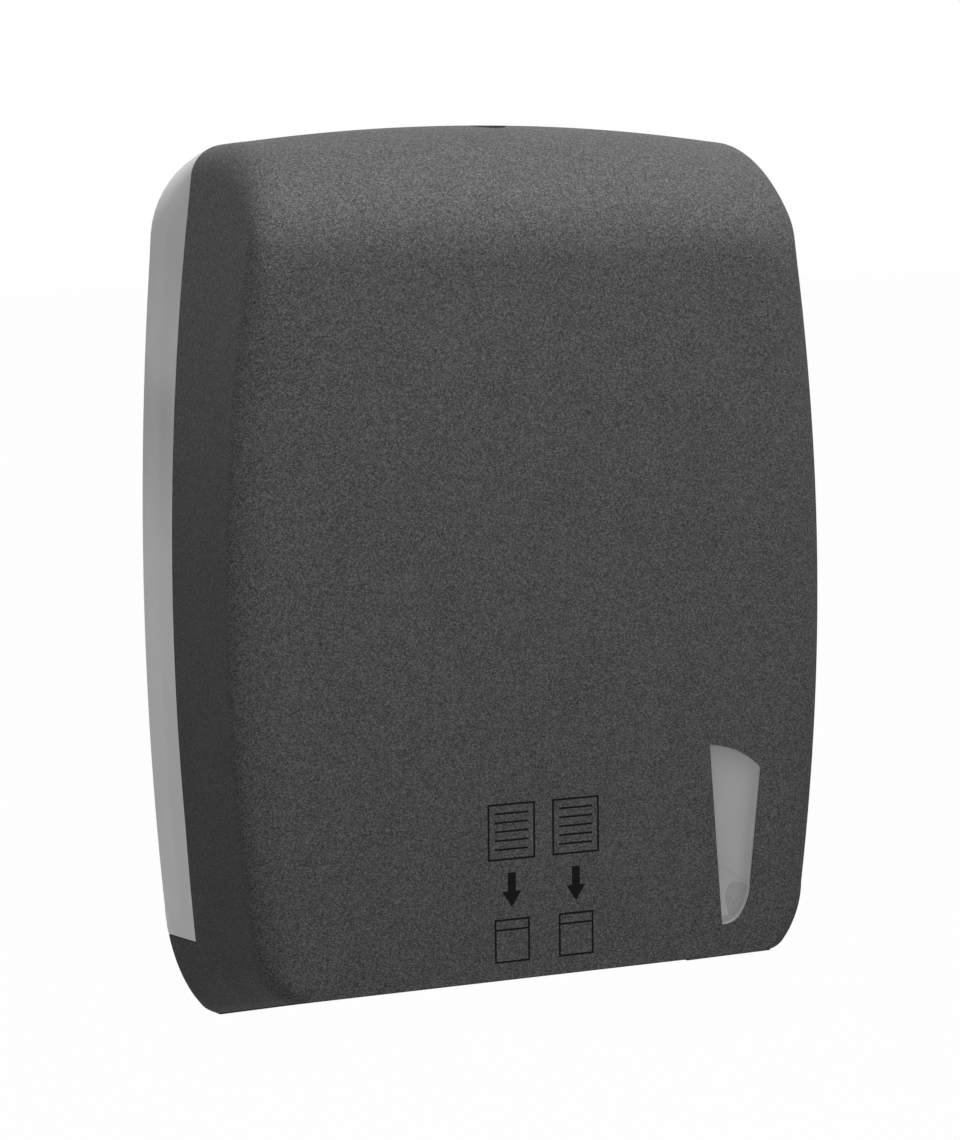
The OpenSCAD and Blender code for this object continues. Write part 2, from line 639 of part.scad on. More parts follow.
divider_low_h = tray_back_h + divider_lift;
divider_back_t = seat_t + 2 * tray_wall;
module centre_divider() color("#d8d9da") difference() {
    union() {
        across(-divider_wall / 2, divider_wall / 2) polygon([
            side_point(seat_t, divider_low_h), side_point(seat_t, divider_top_h),
            side_point(divider_d - chamfer, divider_top_h), side_point(divider_d, divider_top_h - chamfer),
            side_point(divider_d, floor_h(divider_d) + divider_gap),
            side_point(divider_back_t, floor_h(divider_back_t) + divider_gap),
            side_point(divider_back_t, divider_low_h)]);
        block(-flange_w, flange_w, seat_t, seat_t + divider_wall, divider_low_h, divider_top_h);
    }
    for (s = middle_seats) rod_y(hole_r, seat_t - 1, seat_t + divider_wall + 1, s[0], s[1]);
}
module divider_screws() color("#aeb1b5")
    for (s = middle_seats) wall_screw(s[0], seat_t + divider_wall, s[1]);

cam_top_h = body_h - barrel_sink - barrel_l;
strike_arm_h = cam_top_h - strike_drop;
post_t = lock_t - post_reach;
module lock_strike() color("#9c9fa3") difference() {
    union() {
        block(-strike_w / 2, strike_w / 2, seat_t, seat_t + strike_wall, strike_low_h, strike_arm_h);
        block(-strike_w / 2, strike_w / 2, seat_t, post_t, strike_arm_h - strike_wall, strike_arm_h);
        rod_z(strike_w / 2, strike_arm_h - strike_wall, strike_arm_h, 0,
            post_t - strike_w / 2 + post_r * 2);
        rod_z(post_r, strike_arm_h - strike_wall, cam_top_h + post_tip, 0, post_t);
    }
    for (s = strike_seats) rod_y(hole_r, seat_t - 1, seat_t + strike_wall + 1, s[0], s[1]);
}
module strike_screws() color("#aeb1b5")
    for (s = strike_seats) wall_screw(s[0], seat_t + strike_wall, s[1]);

// ---- hood --------------------------------------------------------------------------

lock_bore_r = bezel_r + 2 * fit;
pad_h = body_h - pad_drop;
stud_x = face_x - stud_in;
stud_places = [for (x = [-stud_x, stud_x], h = [stud_low_h, body_h - stud_drop]) [x, h]];
shell_face_t = body_d - cavity_in;
bush_r = pin_r + pin_play + bush_wall;
knuckle_r = bush_r + knuckle_wall;

// Seam between band and skin in the side view, moved by gap towards the skin
function seam_line(gap) = [
    side_point(-1, band_end_h(-1) - gap), side_point(band_low_t + gap, band_end_h(band_low_t) - gap),
    side_point(band_t + gap, band_bend_h), side_point(band_t + gap, body_h + 1)];
// Height of the band's lower end at depth t
function band_end_h(t) = mix(band_back_h, band_front_h, (t - wall_gap) / (band_low_t - wall_gap));
// Side view of what lies in front of the band
module skin_zone(gap) across(-body_w, body_w) polygon(concat([side_point(-1, -1)], seam_line(gap),
    [side_point(body_d + 1, body_h + 1), side_point(body_d + 1, -1)]));

// Points on the arc of radius r from a to b, its middle to the right of the way there
function arc_points(a, b, r, steps = 10) =
    let (half = norm(b - a) / 2,
        way = (b - a) / (2 * half),
        middle = (a + b) / 2 + [way[1], -way[0]] * sqrt(r * r - half * half),
        first = atan2(a[1] - middle[1], a[0] - middle[0]),
        last = atan2(b[1] - middle[1], b[0] - middle[0]))
    [for (i = [0:steps]) let (angle = mix(first, last, i / steps)) middle + r * [cos(angle), sin(angle)]];

// Front view of the window: slanted inner edge, arched top, straight outer edge, rounded foot
module window_outline() {
    window_x = face_x - window_in;
    slant_at_bend = window_slant * share(window_bend_h, window_top_h, window_foot_h);
    top_in = [window_x, up(window_top_h)];
    top_out = [window_x + window_top_w, up(window_shoulder_h)];
    bend = [window_x + slant_at_bend + window_low_w, up(window_bend_h)];
    foot_out = [window_x + window_slant + window_foot_w, up(window_foot_h)];
    foot_in = [window_x + window_slant, up(window_foot_h)];
    polygon(concat(arc_points(top_in, top_out, window_top_r),
        arc_points(bend, foot_out, window_foot_r), [foot_in]));
}
module cover_skin() color("#45474a") union() {
    difference() {
        intersection() {
            hood_wall(0, skin_wall);
            skin_zone(2 * fit);
        }
        forward(body_d - 2 * cavity_in, body_d + 1) window_outline();
        rod_z(lock_bore_r, body_h - 2 * brow_drop, body_h + 1, 0, lock_t);
    }
    for (s = stud_places)
        rod_y(stud_r, shell_face_t - nut_t - stud_tip, body_d - skin_wall / 2, s[0], s[1]);
}
// The clear shell: a band that carries on the skin's outline to the wall, and a shell inside the skin
module inner_shell() color("#8d9296") difference() {
    union() {
        intersection() {
            wall(band_depths, band_depths, 0, shell_wall, 0, false);
            across(-body_w, body_w) polygon(concat(seam_line(-seam), [side_point(-1, body_h + 1)]));
        }
        intersection() {
            hood_wall(shell_in, cavity_in, shell_rise);
            skin_zone(-shell_lap);
        }
        forward(body_d - shell_in - shell_wall / 2, body_d - window_sink)
            offset(delta = -window_fit) window_outline();
        intersection() {
            union() {
                both_sides() rod_x(knuckle_r, knuckle_x, body_w / 2, hinge_t, hinge_h);
                rod_z(pad_r, pad_h, body_h, 0, lock_t);
            }
            solid_hood(shell_in + fit);
        }
    }
    both_sides() rod_x(bush_r + fit, knuckle_x - 1, knuckle_x + knuckle_l, hinge_t, hinge_h);
    for (s = stud_places) rod_y(stud_r + stud_play, shell_face_t - 1, body_d, s[0], s[1]);
    rod_z(lock_bore_r, pad_h - 1, body_h + 1, 0, lock_t);
    for (x = [-housing_screw_x, housing_screw_x])
        rod_z(hole_r, pad_h - 1, pad_h - housing_flange + screw_l + tip_room, x, lock_t);
}
module push_nuts() color("#b4b7ba")
    for (s = stud_places) difference() {
        rod_y(nut_r, shell_face_t - nut_t, shell_face_t, s[0], s[1]);
        rod_y(stud_r + fit, shell_face_t - nut_t - 1, shell_face_t + 1, s[0], s[1]);
    }
module hinge_bush(s) on_side(s) color("#e4e2dc") difference() {
    rod_x(bush_r, knuckle_x, knuckle_x + knuckle_l, hinge_t, hinge_h);
    rod_x(pin_r + pin_play, knuckle_x - 1, knuckle_x + knuckle_l + 1, hinge_t, hinge_h);
}

// ---- lock --------------------------------------------------------------------------

body_r = barrel_r - 1;
housing_top_h = body_h - housing_sink;
module lock_housing() color("#303133") difference() {
    union() {
        rod_z(bezel_r, cam_top_h + fit, housing_top_h, 0, lock_t);
        rod_z(pad_r - housing_in, pad_h - housing_flange, pad_h, 0, lock_t);
    }
    rod_z(body_r + barrel_play, cam_top_h - 1, housing_top_h + 1, 0, lock_t);
    for (x = [-housing_screw_x, housing_screw_x])
        rod_z(hole_r, pad_h - housing_flange - 1, pad_h + 1, x, lock_t);
}
module housing_screws() color("#aeb1b5")
    for (x = [-housing_screw_x, housing_screw_x])
        translate([x, -lock_t, up(pad_h - housing_flange)]) rotate([180, 0, 0]) pan_screw();
module lock_bezel() color("#1b1c1d") difference() {
    rod_z(bezel_r, housing_top_h, body_h - bezel_sink, 0, lock_t);
    rod_z(barrel_r + bezel_play, housing_top_h - 1, body_h, 0, lock_t);
}
module lock_barrel() color("#8f9296") difference() {
    union() {
        rod_z(body_r, cam_top_h, housing_top_h + fit, 0, lock_t);
        rod_z(barrel_r, housing_top_h + fit, body_h - barrel_sink, 0, lock_t);
    }
    block(-key_l / 2, key_l / 2, lock_t - key_w / 2, lock_t + key_w / 2,
        body_h - barrel_sink - key_d, body_h);
    rod_z(hole_r, cam_top_h - 1, cam_top_h - cam_t + screw_l + tip_room, 0, lock_t);
}
// Flat ring sector, from angle a0 to a1
module sector(r0, r1, a0, a1) polygon(concat(
    [for (i = [0:8]) let (a = mix(a0, a1, i / 8)) r1 * [cos(a), sin(a)]],
    [for (i = [8:-1:0]) let (a = mix(a0, a1, i / 8)) r0 * [cos(a), sin(a)]]));
// Drawn turned to open; a quarter turn brings the hook behind the post
module lock_cam() color("#a7aaae") translate([0, -lock_t, up(cam_top_h - cam_t)]) difference() {
    hook_in = post_reach + post_r + hook_gap;
    linear_extrude(cam_t) union() {
        circle(r = bezel_r);
        sector(hook_in, hook_in + hook_w, arm_from, hook_to);
        sector(body_r, hook_in + hook_w, arm_from, arm_to);
    }
    translate([0, 0, -1]) cylinder(r = hole_r, h = cam_t + 2);
}
module cam_screw() color("#aeb1b5")
    translate([0, -lock_t, up(cam_top_h - cam_t)]) rotate([180, 0, 0]) pan_screw();

back_plate();
hinge_pin(-1);  // hinge_pin_left
hinge_pin(1);  // hinge_pin_right
paper_tray();
tray_screws();
side_guide(-1);  // side_guide_left
side_guide(1);  // side_guide_right
guide_screws();
centre_divider();
divider_screws();
lock_strike();
strike_screws();
cover_skin();
inner_shell();
push_nuts();
hinge_bush(-1);  // hinge_bush_left
hinge_bush(1);  // hinge_bush_right
lock_housing();
housing_screws();
lock_bezel();
lock_barrel();
lock_cam();
cam_screw();
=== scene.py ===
# %% [markdown]
# # A wall dispenser for folded toilet paper
# The imported model holds every solid of the dispenser, each on the body that it moves with.
# Here the solids get their finish, and the two moulded walls of the hood are made again with
# smooth curves. We load the model first. Nothing may outgrow it.

# %% Load the frame
import json
from math import asin, atan, atan2, cos, hypot, pi, radians, sin, sqrt, tan

import bpy
from mathutils import Matrix, Quaternion, Vector

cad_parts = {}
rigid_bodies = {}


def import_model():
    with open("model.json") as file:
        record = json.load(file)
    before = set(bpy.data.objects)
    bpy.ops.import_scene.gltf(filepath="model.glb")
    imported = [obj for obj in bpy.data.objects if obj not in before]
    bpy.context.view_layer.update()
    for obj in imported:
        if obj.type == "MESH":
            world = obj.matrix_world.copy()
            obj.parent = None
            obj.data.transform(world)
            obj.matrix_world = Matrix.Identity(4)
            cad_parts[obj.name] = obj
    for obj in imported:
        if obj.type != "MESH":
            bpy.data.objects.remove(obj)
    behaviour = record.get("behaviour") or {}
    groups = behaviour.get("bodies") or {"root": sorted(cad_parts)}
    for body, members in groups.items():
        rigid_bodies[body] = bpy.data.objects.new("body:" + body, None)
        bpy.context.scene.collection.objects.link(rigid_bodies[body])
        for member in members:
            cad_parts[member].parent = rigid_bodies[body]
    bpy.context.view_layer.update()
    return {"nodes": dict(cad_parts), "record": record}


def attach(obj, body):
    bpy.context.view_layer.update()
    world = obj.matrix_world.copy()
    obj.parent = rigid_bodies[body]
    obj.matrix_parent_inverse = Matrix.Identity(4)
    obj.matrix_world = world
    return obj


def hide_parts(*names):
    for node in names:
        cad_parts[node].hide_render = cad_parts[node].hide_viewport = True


for start_object in list(bpy.data.objects):
    bpy.data.objects.remove(start_object)
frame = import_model()
MM = 0.001
print("nodes:", sorted(frame["nodes"]))

# %% [markdown]
# ## The camera
# The dispenser is seen from the front left and a little above. The lens and the place are
# those of a long lens about a metre away; the roll is the slight tilt of a hand-held frame.
# The three directions of the camera are worked out from its angles and put into its matrix,
# because a matrix says exactly where the camera looks, with no order of turns to mind.

# %% Camera
TURN = radians(19.248)
PITCH = radians(7.943)
ROLL = radians(-0.619)
EYE = Vector((-344.2, -1038.1, 149.0)) * MM
FILM_W, LENS = 36, 80.19
ahead = Vector((sin(TURN) * cos(PITCH), cos(TURN) * cos(PITCH), -sin(PITCH)))
level = Vector((cos(TURN), -sin(TURN), 0))
upward = level.cross(ahead)
right = level * cos(ROLL) + upward * sin(ROLL)
upright = upward * cos(ROLL) - level * sin(ROLL)
bpy.ops.object.camera_add()
camera = bpy.context.object
camera.matrix_world = Matrix((
    (right.x, upright.x, -ahead.x, EYE.x),
    (right.y, upright.y, -ahead.y, EYE.y),
    (right.z, upright.z, -ahead.z, EYE.z),
    (0, 0, 0, 1)))
camera.data.sensor_width = FILM_W
camera.data.lens = LENS
bpy.context.scene.camera = camera
print("camera:", round(EYE.length, 3), "m from the middle of the dispenser")

# %% [markdown]
# ## Working by selection
# Mesh operators act on whatever is selected. These helpers select faces by a test on their
# place, and switch edit mode on and off, so that each later step reads like the steps one
# would take by hand. Everything is deselected first, because a new primitive and a loaded
# model both come in selected.

# %% Selection helpers
def only(piece):
    """Makes piece the one selected and active object."""
    if bpy.context.mode != "OBJECT":
        bpy.ops.object.mode_set(mode="OBJECT")
    bpy.ops.object.select_all(action="DESELECT")
    piece.select_set(True)
    bpy.context.view_layer.objects.active = piece


def edit(piece, mode="FACE"):
    """Opens the piece in edit mode with nothing selected."""
    only(piece)
    bpy.ops.object.mode_set(mode="EDIT")
    bpy.ops.mesh.select_mode(type=mode)
    bpy.ops.mesh.select_all(action="DESELECT")


def edit_all(piece):
    """Opens the piece in edit mode with everything selected."""
    edit(piece)
    bpy.ops.mesh.select_all(action="SELECT")


def done():
    bpy.ops.object.mode_set(mode="OBJECT")


def pick_faces(piece, test):
    """In edit mode, selects the faces whose middle passes the test."""
    done()
    for face in piece.data.polygons:
        face.select = test(face.center)
    bpy.ops.object.mode_set(mode="EDIT")


def pick_open_edges():
    """In edit mode, selects the edges that have a face on one side only."""
    bpy.ops.mesh.select_non_manifold(
        extend=False, use_wire=False, use_boundary=True,
        use_multi_face=False, use_non_contiguous=False, use_verts=False)


print("selection helpers ready")

# %% [markdown]
# A modifier is a recipe, and applying it bakes its result into the mesh. Moving the object's
# place into the mesh as well leaves every finished piece at the origin, so its pattern and
# its motion start from the same point as those of the loaded solids.

# %% Finishing helpers
def apply(piece, kind, **settings):
    """Adds a modifier and applies it."""
    only(piece)
    modifier = piece.modifiers.new(kind.title(), kind)
    for name, value in settings.items():
        setattr(modifier, name, value)
    bpy.ops.object.modifier_apply(modifier=modifier.name)


def settle(piece):
    """Moves the object's place into its mesh, so that the object sits at the origin."""
    only(piece)
    bpy.ops.object.transform_apply(location=True, rotation=True, scale=True)


print("finishing helpers ready")

# %% [markdown]
# ## The form of the hood
# The hood is one curved form: its sides lean in and bow, its top is an arch that rolls down
# into a flat front, and its lower edge is an arc round the hinge and then a straight rise to
# the front lip. It could be sculpted by eye, but then skin, shell and window would not fit
# each other. So the form is written as a few functions in millimetres, the same ones that
# shape the solids: t is the depth from the wall, h the height above the lowest edge, and
# inset the distance that a surface lies inside the outer one.

# %% Sizes of the hood
BODY_W, BODY_H, BODY_D = 262, 370, 125
SIDE_LEAN, BOW_BACK, BOW_FRONT, WIDEST_H = 8, 10.5, 18.5, 173
ARCH_RISE, FACE_X, CHEEK_ROUND = 11.5, 102, 10
BROW_DEPTH, BROW_DROP = 66, 54
CORNER_BACK, CORNER_FRONT = 42, 14
FOOT_R, FOOT_FRONT_R, FOOT_TURN = 40, 8, radians(38)
EDGE_R, EDGE_FRONT_R, EDGE_TURN, EDGE_FOOT = 10, 7.5, radians(80), 0.5
LIP_H, HEEL_R, WALL_GAP, BAND_T = 35, 16, 1, 44
HINGE_T = WALL_GAP + HEEL_R
LIP_RUN = BODY_D - HINGE_T
LIP_ANGLE = atan2(LIP_H - HEEL_R, LIP_RUN) + asin(HEEL_R / hypot(LIP_RUN, LIP_H - HEEL_R))
TANGENT_T = HINGE_T + HEEL_R * sin(LIP_ANGLE)
print("lower edge rises by", round(tan(LIP_ANGLE), 3), "mm per mm from depth", round(TANGENT_T, 1))

# %% [markdown]
# Side, top and lower edge each have a function that gives their place at a depth. A rounding
# towards the front is a quarter of an ellipse: slow at first, then turning in fast.

# %% Sides, top and lower edge
def mix(a, b, share):
    return a + (b - a) * share


def turn(t, start, inset):
    """How far a rounding that runs from depth start to the front has turned, from 0 to 1."""
    u = min(1, max(0, (t - start) / (BODY_D - inset - start)))
    return 1 - sqrt(1 - u * u)


def side_x(h, t, inset):
    bow = mix(BOW_BACK, BOW_FRONT, t / BODY_D) * ((h - WIDEST_H) / (BODY_H / 2)) ** 2
    side = BODY_W / 2 - inset - SIDE_LEAN * t / BODY_D - bow
    return mix(side, FACE_X, turn(t, BODY_D - CHEEK_ROUND, inset))


def top_h(x, t, inset):
    brow = turn(t, BODY_D - BROW_DEPTH, inset)
    arch = ARCH_RISE * (x / (BODY_W / 2)) ** 2 * (1 - brow)
    return BODY_H - inset - (BROW_DROP - inset) * brow - arch


def bottom_h(t):
    if t < TANGENT_T:
        return HEEL_R - sqrt(max(0, HEEL_R ** 2 - (t - HINGE_T) ** 2))
    return LIP_H - (BODY_D - t) * tan(LIP_ANGLE)


def corner(t, inset):
    """Radius and centre of an upper corner, slid along side and top in turn."""
    r = mix(CORNER_BACK, CORNER_FRONT, min(1, t / BAND_T)) - inset
    h = BODY_H * 0.8
    for _ in range(6):
        x = side_x(h, t, inset) - r
        h = top_h(x, t, inset) - r
    return r, x, h


print("side at half height:", round(side_x(BODY_H / 2, BAND_T, 0), 1), "mm from the middle")

# %% [markdown]
# The outline at one depth is walked from the lower edge upwards: a small arc at the edge, a
# large one at the foot, the side, the corner's arc and half of the top. Every outline has the
# same number of points, because later they become the rows of one grid.

# %% One outline
EDGE_STEPS, FOOT_STEPS, SIDE_STEPS, CORNER_STEPS, TOP_STEPS = 8, 10, 26, 12, 22


def round_arc(middle_x, middle_h, r, first, last, steps):
    """Points on an arc from the first angle to the last one."""
    angles = [mix(first, last, i / steps) for i in range(steps + 1)]
    return [(middle_x + r * cos(a), middle_h + r * sin(a)) for a in angles]


def slope(surface, place, t, inset):
    """Angle at which side_x or top_h falls away at a place, from two points 1 mm to each side."""
    return atan((surface(place - 1, t, inset) - surface(place + 1, t, inset)) / 2)


def half_outline(t, inset, rise):
    """Right half of the outline at depth t, from the lower edge up to the top middle."""
    share = turn(t, BODY_D - CHEEK_ROUND, inset)
    foot_r, edge_r = mix(FOOT_R, FOOT_FRONT_R, share), mix(EDGE_R, EDGE_FRONT_R, share)
    edge_h = bottom_h(t) + rise + EDGE_FOOT + edge_r * sin(EDGE_TURN)
    foot_h = edge_h + (foot_r - edge_r) * sin(FOOT_TURN)
    foot_x = side_x(foot_h, t, inset) - (foot_r - inset)
    edge_x = foot_x + (foot_r - edge_r) * cos(FOOT_TURN)
    corner_r, corner_x, corner_h = corner(t, inset)
    lean, fall = slope(side_x, corner_h, t, inset), slope(top_h, corner_x, t, inset)
    side_end_h = corner_h + corner_r * sin(lean)
    points = [(edge_x + (edge_r - inset) * cos(EDGE_TURN), bottom_h(t) + rise)]
    points += round_arc(edge_x, edge_h, edge_r - inset, -EDGE_TURN, -FOOT_TURN, EDGE_STEPS)[:-1]
    points += round_arc(foot_x, foot_h, foot_r - inset, -FOOT_TURN, 0, FOOT_STEPS)[:-1]
    side = [mix(foot_h, side_end_h, i / SIDE_STEPS) for i in range(SIDE_STEPS)]
    points += [(side_x(h, t, inset), h) for h in side]
    points += round_arc(corner_x, corner_h, corner_r, lean, pi / 2 - fall, CORNER_STEPS)
    top = [corner_x * (1 - i / TOP_STEPS) for i in range(1, TOP_STEPS + 1)]
    return points + [(x, top_h(x, t, inset)) for x in top]


print("outline:", 2 * len(half_outline(BAND_T, 0, 0)) - 1, "points")

# %% [markdown]
# Along the depth the outlines stand close together where the form turns fast: round the heel
# at the hinge, down the brow and round the cheeks.

# %% Depths of the outlines
def depths(inset):
    heel = [HINGE_T - HEEL_R * cos(radians(a)) for a in range(0, 90, 15)]
    flat = [mix(HINGE_T, BAND_T, i / 6) for i in range(6)] + [BAND_T, BAND_T + 5, BAND_T + 10]
    brow_run = BROW_DEPTH - inset
    cheek_start = BODY_D - CHEEK_ROUND
    brow = [BODY_D - BROW_DEPTH + brow_run * sin(radians(a)) for a in range(0, 90, 5)]
    cheek = [cheek_start + (CHEEK_ROUND - inset) * sin(radians(a)) for a in range(0, 91, 9)]
    return heel + flat + [t for t in brow if t < cheek_start - 1] + cheek


def point(x, t, h):
    """A place in metres from a sideways place, a depth and a height in millimetres."""
    return Vector((x, -t, h - BODY_H / 2)) * MM


print("outlines:", len(depths(0)))

# %% [markdown]
# ## A moulded sheet
# A flat grid is laid over the form, as a warm sheet is drawn over a mould: its rows become
# the outlines, one behind the other, and its columns run round each outline. The front row
# is closed with one flat face. A grid is the right start, because its corners already come
# in rows and its faces already join.

# %% Sheet over the form
def sheet_over_form(name, inset, rise=0):
    """An open sheet at an inset, whose lower edge is lifted by rise."""
    rows = [[(-x, h) for x, h in half] + [(x, h) for x, h in half[-2::-1]]
            for half in (half_outline(t, inset, rise) for t in depths(inset))]
    across, back = len(rows[0]) - 1, len(rows) - 1
    bpy.ops.mesh.primitive_grid_add(x_subdivisions=across, y_subdivisions=back, size=1)
    sheet = bpy.context.object
    sheet.name = name
    for vertex in sheet.data.vertices:
        column = round((vertex.co.x + 0.5) * across)
        row = round((vertex.co.y + 0.5) * back)
        x, h = rows[row][column]
        vertex.co = point(x, depths(inset)[row], h)
    front = point(0, BODY_D - inset - 0.01, 0).y
    edit(sheet, "VERT")
    done()
    for vertex in sheet.data.vertices:
        vertex.select = vertex.co.y < front
    bpy.ops.object.mode_set(mode="EDIT")
    bpy.ops.mesh.edge_face_add()
    done()
    return sheet


print("sheet: a grid of", len(half_outline(BAND_T, 0, 0)) * 2 - 2, "by", len(depths(0)) - 1, "faces")

# %% [markdown]
# ## The seam
# Skin and clear band are two mouldings that meet at a seam: upright along most of the side,
# bent back below, and sloped along the band's lower end. Each line is one plane, and the
# sheet is scored along the plane with bisect, which leaves all faces but adds clean edges.

# %% Seam planes
BAND_BACK_H, BAND_FRONT_H, BAND_LOW_T, BAND_BEND_H = 32, 38.5, 40, 90


def band_end_h(t):
    """Height of the clear band's lower end at depth t."""
    return mix(BAND_BACK_H, BAND_FRONT_H, (t - WALL_GAP) / (BAND_LOW_T - WALL_GAP))


def seam_planes(gap):
    """Three planes along the seam moved by gap: end slope, bend and upright line."""
    back = Vector((-1, band_end_h(-1) - gap))
    low = Vector((BAND_LOW_T + gap, band_end_h(BAND_LOW_T) - gap))
    bend = Vector((BAND_T + gap, BAND_BEND_H))
    lines = [(low, low - back), (low, bend - low), (bend, Vector((0, 1)))]
    return [(point(0, t, h), Vector((0, -way.y, -way.x)).normalized()) for (t, h), way in lines]


def score(piece, place, normal):
    """Scores the whole piece along a plane."""
    edit_all(piece)
    bpy.ops.mesh.bisect(plane_co=place, plane_no=normal)


print("seam:", [[round(d, 2) for d in normal] for place, normal in seam_planes(0)])

# %% [markdown]
# A wall is two such sheets, an outer and an inner one, each cut off along the same seam and
# then bridged along their open edges. Solidify could give the thickness too, but then the
# inner side would not lie on the stated surface where the form turns tightly.

# %% Moulded wall
SAME_PLACE = 0.001 * MM


def moulded_wall(name, outer, inner, gap, behind, rise=0):
    """A wall between two insets, kept either behind or in front of the seam moved by gap."""
    halves = [sheet_over_form(name, outer, rise), sheet_over_form(name + "_inside", inner, rise)]
    planes = seam_planes(gap)
    for half in halves:
        for place, normal in planes:
            score(half, place, normal)
        pick_faces(half, lambda middle: behind == any(
            (middle - place).dot(normal) > 0 for place, normal in planes))
        bpy.ops.mesh.delete(type="FACE")
        done()
    only(halves[0])
    halves[1].select_set(True)
    bpy.ops.object.join()
    wall = bpy.context.object
    edit(wall, "EDGE")
    pick_open_edges()
    bpy.ops.mesh.bridge_edge_loops()
    bpy.ops.mesh.select_all(action="SELECT")
    bpy.ops.mesh.remove_doubles(threshold=SAME_PLACE)
    bpy.ops.mesh.normals_make_consistent(inside=False)
    done()
    return wall


print("corners closer than", SAME_PLACE, "m are merged")

# %% [markdown]
# The hood is three walls: the dark skin in front of the seam, the clear band behind it, and
# the clear shell inside the skin, which runs a little way back under the band. Band and shell
# are one moulding on the real hood, and are joined once the holes are made.

# %% Three walls
SKIN_WALL, SKIN_GAP, SHELL_WALL = 2, 0.4, 2.5
SKIN_BACK, SEAM, SHELL_LAP, SHELL_RISE = 0.1, 0.3, 8, 3
SHELL_IN = SKIN_WALL + SKIN_GAP
CAVITY_IN = SHELL_IN + SHELL_WALL
skin = moulded_wall("hood_skin", 0, SKIN_WALL, SKIN_BACK, behind=False)
band = moulded_wall("hood_band", 0, SHELL_WALL, -SEAM, behind=True)
shell = moulded_wall("hood_shell", SHELL_IN, CAVITY_IN, -SHELL_LAP, behind=False, rise=SHELL_RISE)
for piece in (skin, band, shell):
    print(piece.name, len(piece.data.polygons), [round(d / MM, 1) for d in piece.dimensions])

# %% [markdown]
# ## Tools for holes and seats
# Holes are made as a toolmaker makes them: a bar or a punch of the right shape is put in
# place and taken out of the wall with a boolean. A face with no thickness can't be taken
# out, so it is pulled into a closed block first.

# %% Cutting helpers
def flat_face(name, outline, t):
    """A face standing at depth t, made from a filled circle with as many corners."""
    bpy.ops.mesh.primitive_circle_add(vertices=len(outline), fill_type="NGON")
    piece = bpy.context.object
    piece.name = name
    for vertex, (x, h) in zip(piece.data.vertices, outline):
        vertex.co = point(x, t, h)
    return piece


def pull(piece, depth):
    """Pulls every face of the piece forward by a depth in millimetres and closes it."""
    edit_all(piece)
    bpy.ops.mesh.extrude_region_move(TRANSFORM_OT_translate={"value": (0, -depth * MM, 0)})
    bpy.ops.mesh.select_all(action="SELECT")
    bpy.ops.mesh.normals_make_consistent(inside=False)
    done()


def combine(piece, tool, operation):
    """Takes the tool out of the piece, or adds it, and removes the tool."""
    apply(piece, "BOOLEAN", operation=operation, solver="EXACT", object=tool)
    bpy.data.objects.remove(tool)


ROD_TWIST = radians(3.1)


def rod(name, r, middle, axis, length, corners=48):
    """A round bar, turned a little on its axis so that no corner meets an edge of the walls."""
    way = Vector(axis).to_track_quat("Z", "Y") @ Quaternion((0, 0, 1), ROD_TWIST)
    bpy.ops.mesh.primitive_cylinder_add(
        vertices=corners, radius=r * MM, depth=length * MM, location=middle,
        rotation=way.to_euler())
    piece = bpy.context.object
    piece.name = name
    settle(piece)
    return piece


print("cutting helpers ready")

# %% [markdown]
# ## The window
# The level of the paper shows through a tall window. Its outline has a slanted inner edge, an
# arched top and a rounded foot, and is drawn from a few arcs of stated radius, as on a
# drawing. It is pulled through the front and taken out of the skin.

# %% Window opening
WINDOW_X, WINDOW_TOP_W, WINDOW_LOW_W, WINDOW_FOOT_W, WINDOW_SLANT = 71.5, 22.7, 14, 5.8, 5.6
WINDOW_TOP_H, WINDOW_SHOULDER_H, WINDOW_BEND_H, WINDOW_FOOT_H = 123, 112, 65.3, 47.8
WINDOW_TOP_R, WINDOW_FOOT_R = 36, 22.5
TOE_OUT, TOE_RISE, TOE_R = 1.6, 2.4, 11


def arc(a, b, r, steps=16):
    """Points on the arc of radius r from a to b, bulging to the left of the way there."""
    a, b = Vector(a), Vector(b)
    way = (b - a).normalized()
    middle = (a + b) / 2 + Vector((way.y, -way.x)) * sqrt(r * r - (b - a).length_squared / 4)
    first, last = (atan2(p.y - middle.y, p.x - middle.x) for p in (a, b))
    return [Vector(p) for p in round_arc(middle.x, middle.y, r, first, last, steps)]


def window_outline():
    share = (WINDOW_TOP_H - WINDOW_BEND_H) / (WINDOW_TOP_H - WINDOW_FOOT_H)
    foot_x = WINDOW_X + WINDOW_SLANT
    top = arc((WINDOW_X, WINDOW_TOP_H), (WINDOW_X + WINDOW_TOP_W, WINDOW_SHOULDER_H), WINDOW_TOP_R)
    bend = (WINDOW_X + WINDOW_SLANT * share + WINDOW_LOW_W, WINDOW_BEND_H)
    toe = (foot_x + WINDOW_FOOT_W + TOE_OUT, WINDOW_FOOT_H + TOE_RISE)
    foot = arc(bend, toe, WINDOW_FOOT_R) + arc(toe, (foot_x + 1, WINDOW_FOOT_H), TOE_R)[1:]
    return top + foot + [Vector((foot_x, WINDOW_FOOT_H))]


window = flat_face("window_cutter", window_outline(), BODY_D - 2 * CAVITY_IN)
pull(window, 2 * CAVITY_IN + 1)
combine(skin, window, "DIFFERENCE")
print("window:", len(window_outline()), "corners,", len(skin.data.polygons), "faces in the skin")

# %% [markdown]
# The clear shell has a raised pad that fills the opening and lies almost flush with the skin.
# It is the same outline, made smaller by the fit all round: the face is inset, the ring that
# this leaves is deleted, and the rest is pulled out of the middle of the shell's wall.

